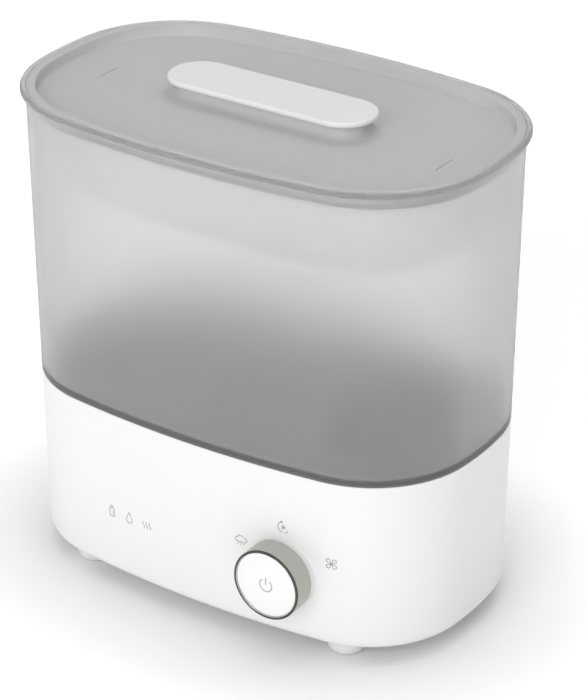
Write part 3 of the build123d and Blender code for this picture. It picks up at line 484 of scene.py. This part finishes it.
def board_finish():
    """Solder mask over copper: the tracks lie a little proud and a little lighter."""
    mask = Finish("circuit_board", (0.03, 0.2, 0.08), 0.32, Coat_Weight=0.3)
    tracks = mask.tree.nodes.new("ShaderNodeTexBrick")
    tracks.inputs["Scale"].default_value = 160.0
    tracks.inputs["Mortar Size"].default_value = 0.08
    tracks.inputs["Color1"].default_value = (0.02, 0.15, 0.06, 1)
    tracks.inputs["Color2"].default_value = (0.03, 0.19, 0.08, 1)
    tracks.inputs["Mortar"].default_value = (0.08, 0.34, 0.14, 1)
    mask.tree.links.new(mask.where, tracks.inputs["Vector"])
    mask.tree.links.new(tracks.outputs["Color"], mask.shader.inputs["Base Color"])
    return mask.bump(tracks.outputs["Fac"], 0.03 * MM).material


def dress_power_board():
    paint(plastic("relay_blue", (0.05, 0.12, 0.35), 0.35, 0.4 * MM, 0.008 * MM), "relay")
    paint(plastic("coil_tape", (0.7, 0.55, 0.12), 0.45, 0.5 * MM, 0.01 * MM), "transformer")
    paint(plastic("capacitor_sleeve", (0.04, 0.04, 0.1), 0.3, 0.4 * MM, 0.006 * MM), "capacitor")
    paint(plastic("terminal_green", (0.07, 0.33, 0.16), 0.4, 0.4 * MM, 0.01 * MM), "terminal_block")


# ---------------------------------------------------------------- knob and button
selector = joints["selector_turn"]
knob_axis = Vector(selector["axis"]).normalized()
knob_right = Vector((0, 0, 1)).cross(knob_axis).normalized()
knob_frame = Matrix((knob_right, Vector((0, 0, 1)), knob_axis)).transposed().to_4x4()
knob_frame.translation = Vector(selector["pos_m"])


def far_end(name):
    """How far a node reaches along the knob's axis, from the casing's face."""
    inverse = knob_frame.inverted()
    return max((inverse @ vertex.co).z for vertex in nodes[name].data.vertices)


def widest(name, front_depth):
    """A node's largest radius about the knob's axis, within front_depth of its front."""
    inverse = knob_frame.inverted()
    places = [inverse @ vertex.co for vertex in nodes[name].data.vertices]
    front = max(place.z for place in places) - front_depth
    return max(place.xy.length for place in places if place.z > front)


def turned(profile, steps=128):
    """A shape of revolution about the knob's axis; profile lists (radius, height)."""
    shape = bmesh.new()
    points = [shape.verts.new((radius, 0, height)) for radius, height in profile]
    edges = [shape.edges.new(pair) for pair in zip(points, points[1:])]
    bmesh.ops.spin(
        shape,
        geom=points + edges,
        cent=(0, 0, 0),
        axis=(0, 0, 1),
        angle=2 * pi,
        steps=steps,
        use_merge=True,
    )
    bmesh.ops.remove_doubles(shape, verts=shape.verts, dist=1e-6)
    bmesh.ops.recalc_face_normals(shape, faces=shape.faces)
    return shape


BUTTON_GROOVE_INSET = 1.5 * MM  # from the disc's rim to the fine groove near it
BUTTON_GROOVE = 0.3 * MM
BUTTON_SKIRT = 2.6 * MM
BUTTON_DOME = 0.4 * MM
BUTTON_EDGE_RISE = 0.1 * MM
BUTTON_EDGE_BEND = 0.45 * MM


def rounded_step(radius, low, high, bend, steps=5):
    """Points of a quarter-round corner from the top at high down to the side at radius."""
    turns = [pi / 2 * i / steps for i in range(steps + 1)]
    round_part = [(radius - bend + bend * sin(turn), high - bend + bend * cos(turn)) for turn in turns]
    return round_part + [(radius, low)]


def make_button():
    """The white disc: slightly domed, with a fine groove inside its rounded rim."""
    radius = widest("power_button", BUTTON_SKIRT)
    front = far_end("power_button")
    groove = radius - BUTTON_GROOVE_INSET

    def height(r):
        return front - BUTTON_DOME * (r / radius) ** 2

    spots = [groove * i / 12 for i in range(1, 12)]
    top = [(0, front)] + [(r, height(r)) for r in spots]
    dip = [
        (groove - BUTTON_GROOVE / 2, height(groove)),
        (groove - BUTTON_GROOVE / 4, height(groove) - BUTTON_GROOVE / 2),
        (groove + BUTTON_GROOVE / 4, height(groove) - BUTTON_GROOVE / 2),
        (groove + BUTTON_GROOVE / 2, height(groove)),
    ]
    edge = height(radius) + BUTTON_EDGE_RISE
    rim = rounded_step(radius, front - BUTTON_SKIRT, edge, BUTTON_EDGE_BEND)
    shape = turned(top + dip + rim + [(0, front - BUTTON_SKIRT)])
    bmesh.ops.transform(shape, matrix=knob_frame, verts=shape.verts)
    finish = plastic("button_white", grey(0.9), 0.3, 0.35 * MM, 0.003 * MM)
    disc = mesh_object("button_disc", shape, finish)
    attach(disc, "power_button")
    paint(finish, "power_button")


TRIM_LINE_INSET = 1.5 * MM  # from the trim's rim to the middle of the bright line, a painted highlight
TRIM_LINE_HALF = 0.12 * MM
TRIM_LINE_FOOT = 0.5 * MM


def make_trim():
    """The thin dark ring on the knob's front, its inner edge broken by a real bevel whose bright finish
    is a painted highlight.
    """
    outer = widest("knob_trim", 1 * MM)
    front = far_end("knob_trim")
    finish = Finish("trim_dark", grey(0.07), 0.28, Metallic=0.6).grain(0.3 * MM, 0.002 * MM).material
    paint(finish, "knob_trim")
    crest = outer - TRIM_LINE_INSET
    inside, outside = crest - TRIM_LINE_HALF, crest + TRIM_LINE_HALF
    foot = front - TRIM_LINE_FOOT
    shape = turned(
        [
            (inside, foot),
            (inside, front - 0.1 * MM),
            (crest, front - 0.02 * MM),
            (outside, front - 0.06 * MM),
            (outside, foot),
            (inside, foot),
        ]
    )
    bmesh.ops.transform(shape, matrix=knob_frame, verts=shape.verts)
    # The bevel's shape is real; its bright metal finish against the dark trim is a painted highlight.
    painted_highlight_finish = Finish("trim_edge", grey(0.85), 0.2, Metallic=1.0).material
    line = mesh_object("trim_edge", shape, painted_highlight_finish)
    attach(line, "selector")


# ---------------------------------------------------------------- printed signs
PRINT_HEIGHT = 0.07 * MM  # of the ink above the surface
PRINT_BURIED = 0.05 * MM
STROKE = 0.5 * MM


def arc_stroke(shape, centre, radius, start, sweep, width=STROKE, steps=40):
    """An arc of ink in the X-Y plane; angles in degrees, anticlockwise from +X."""
    corners = ((-1, -1), (1, -1), (1, 1), (-1, 1))
    points = [shape.verts.new((radius + r * width / 2, 0, h * PRINT_HEIGHT)) for r, h in corners]
    face = shape.faces.new(points)
    turn = Matrix.Rotation(radians(start), 4, "Z")
    bmesh.ops.transform(shape, matrix=turn, verts=points)
    made = bmesh.ops.spin(
        shape,
        geom=[face] + list(face.edges) + points,
        cent=(0, 0, 0),
        axis=(0, 0, 1),
        angle=radians(sweep),
        steps=steps,
        use_merge=sweep == 360,
    )
    fresh = {v for item in made["geom_last"] for v in getattr(item, "verts", [])}
    seen = set(points) | fresh
    front = list(seen)
    while front:
        grown = {other for v in front for e in v.link_edges for other in e.verts} - seen
        seen |= grown
        front = list(grown)
    bmesh.ops.translate(shape, vec=(*centre, 0), verts=list(seen))


def line_stroke(shape, start, end, width=STROKE):
    """A straight bar of ink from start to end."""
    start, end = Vector((*start, 0)), Vector((*end, 0))
    along = end - start
    size = Matrix.Diagonal((along.length + width * 0.6, width, 2 * PRINT_HEIGHT, 1))
    turn = Matrix.Rotation(along.to_2d().angle_signed(Vector((1, 0))) if along.length else 0, 4, "Z")
    place = Matrix.Translation((start + end) / 2) @ turn @ size
    made = bmesh.ops.create_cube(shape, size=1, matrix=place)
    edges = {edge for vertex in made["verts"] for edge in vertex.link_edges}
    flat = [e for e in edges if abs((e.verts[0].co - e.verts[1].co).z) < PRINT_HEIGHT]
    bmesh.ops.subdivide_edges(shape, edges=flat, cuts=2, use_grid_fill=True)


def dot(shape, centre, radius):
    place = Matrix.Translation((*centre, 0))
    bmesh.ops.create_cone(
        shape,
        cap_ends=True,
        segments=24,
        radius1=radius,
        radius2=radius,
        depth=2 * PRINT_HEIGHT,
        matrix=place,
    )


def polygon_sign(shape, points):
    """A filled flat shape of ink through a few corner points."""
    low = [shape.verts.new((x, y, -PRINT_HEIGHT)) for x, y in points]
    face = shape.faces.new(low)
    grown = bmesh.ops.extrude_face_region(shape, geom=[face])
    lifted = [v for v in grown["geom"] if isinstance(v, bmesh.types.BMVert)]
    bmesh.ops.translate(shape, vec=(0, 0, 2 * PRINT_HEIGHT), verts=lifted)


def power_sign(shape):
    arc_stroke(shape, (0, 0), 3.9 * MM, 128, 284, 0.9 * MM)
    line_stroke(shape, (0, 0.4 * MM), (0, 4.5 * MM), 0.9 * MM)


def steam_sign(shape):
    """A small cloud over three drops."""
    arc_stroke(shape, (-2.4 * MM, 0), 1.3 * MM, 95, 175)
    arc_stroke(shape, (-0.4 * MM, 0.9 * MM), 1.9 * MM, 20, 150)
    arc_stroke(shape, (2.3 * MM, 0.1 * MM), 1.4 * MM, -90, 190)
    line_stroke(shape, (-2.4 * MM, -1.3 * MM), (2.3 * MM, -1.3 * MM))
    for x in (-1.8, 0, 1.8):
        line_stroke(shape, (x * MM, -2.2 * MM), ((x - 0.4) * MM, -3.3 * MM))


def cycle_sign(shape):
    """An open loop with a dot at its head around a small triangle: the automatic programme."""
    arc_stroke(shape, (0, 0), 3.4 * MM, 110, 150)
    arc_stroke(shape, (0, 0), 3.4 * MM, 285, 40)
    dot(shape, (-1.2 * MM, 3.2 * MM), 0.65 * MM)
    polygon_sign(shape, [(-0.9 * MM, -1.5 * MM), (1.6 * MM, 0), (-0.9 * MM, 1.5 * MM)])


def fan_sign(shape):
    """Four petals in an X that meet at a dot: the dryer."""
    for turn in (45, 135, 225, 315):
        x, y = cos(radians(turn)), sin(radians(turn))
        arc_stroke(shape, (2.55 * MM * x, 2.55 * MM * y), 1.1 * MM, turn - 112, 224)
        side = Vector((-y, x)) * 1.02 * MM
        for sign in (-1, 1):
            foot = Vector((x, y)) * 0.3 * MM
            tip = Vector((x, y)) * 2.1 * MM + side * sign
            line_stroke(shape, foot, tip, 0.45 * MM)
    dot(shape, (0, 0), 0.7 * MM)


def bottle_sign(shape):
    """A feeding bottle with its teat."""
    for sign in (-1, 1):
        line_stroke(shape, (sign * 1.6 * MM, -3.4 * MM), (sign * 1.6 * MM, 1.4 * MM))
        line_stroke(shape, (sign * 1.6 * MM, 1.4 * MM), (sign * 1.0 * MM, 2.0 * MM))
    line_stroke(shape, (-1.6 * MM, -3.4 * MM), (1.6 * MM, -3.4 * MM))
    line_stroke(shape, (-1.4 * MM, 2.1 * MM), (1.4 * MM, 2.1 * MM))
    arc_stroke(shape, (0, 2.9 * MM), 0.75 * MM, -20, 220)
    for y in (-2.0, -0.8, 0.4):
        line_stroke(shape, (0.5 * MM, y * MM), (1.2 * MM, y * MM), 0.35 * MM)


def drop_sign(shape):
    """A drop of water."""
    arc_stroke(shape, (0, -1.2 * MM), 2.1 * MM, 150, 240)
    for sign in (-1, 1):
        line_stroke(shape, (sign * 1.85 * MM, -0.15 * MM), (0, 3.6 * MM))


def wisps_sign(shape):
    """Three rising wisps of steam."""
    for x in (-2.2, 0, 2.2):
        arc_stroke(shape, ((x - 0.75) * MM, -1.3 * MM), 1.3 * MM, -55, 110)
        arc_stroke(shape, ((x + 0.75) * MM, 0.85 * MM), 1.3 * MM, 125, 110)


RAY_START = 40 * MM  # in front of the casing, from where signs are cast onto it
ink_trees = {}


def lay_on(shape, target, centre, frame_matrix):
    """Lays a flat sign on a node's face: centre is its place in the plane of frame_matrix."""
    if target not in ink_trees:
        thing = nodes[target] if target in nodes else bpy.data.objects[target]
        ink_trees[target] = surface_tree(thing.data)
    out = frame_matrix.to_3x3().col[2].normalized()
    for vertex in shape.verts:
        lift = PRINT_HEIGHT if vertex.co.z > 0 else -PRINT_BURIED
        above = frame_matrix @ Vector((vertex.co.x + centre[0], vertex.co.y + centre[1], RAY_START))
        hit = ink_trees[target].ray_cast(above, -out)[0]
        vertex.co = hit + out * lift
    bmesh.ops.recalc_face_normals(shape, faces=shape.faces)


def print_sign(name, draw, target, centre, body, ink):
    shape = bmesh.new()
    draw(shape)
    lay_on(shape, target, centre, knob_frame)
    sign = mesh_object(name, shape, ink, smooth=False)
    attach(sign, body)


MODE_SIGNS = (  # each with its place in mm from the knob's axis
    ("steam", steam_sign, -25.8, 13.3),
    ("cycle", cycle_sign, 1.3, 29.5),
    ("fan", fan_sign, 30.0, 14.0),
)
USE_SIGNS = (("bottle", bottle_sign), ("drop", drop_sign), ("wisps", wisps_sign))
USE_SIGN_PITCH = 13 * MM
USE_SIGN_PLACE = (-104 * MM, 0.5 * MM)  # the middle of the row, from the knob's axis


def print_signs():
    ink = Finish("ink_grey", grey(0.36), 0.5).drift(0.01, 0.1).material
    pale_ink = Finish("ink_pale_grey", grey(0.48), 0.5).drift(0.01, 0.1).material
    print_sign("power_sign", power_sign, "button_disc", (0, 0), "power_button", pale_ink)
    for name, draw, x, y in MODE_SIGNS:
        print_sign(f"{name}_sign", draw, "base_casing", (x * MM, y * MM), "base", ink)
    for i, (name, draw) in enumerate(USE_SIGNS):
        place = (USE_SIGN_PLACE[0] + (i - 1) * USE_SIGN_PITCH, USE_SIGN_PLACE[1])
        print_sign(f"{name}_sign", draw, "base_casing", place, "base", ink)


make_camera()
make_studio()
dress_stack()
dress_base()
dress_heater()
dress_blower()
dress_selector()
dress_power_board()
make_slats()
make_button()
make_trim()
print_signs()
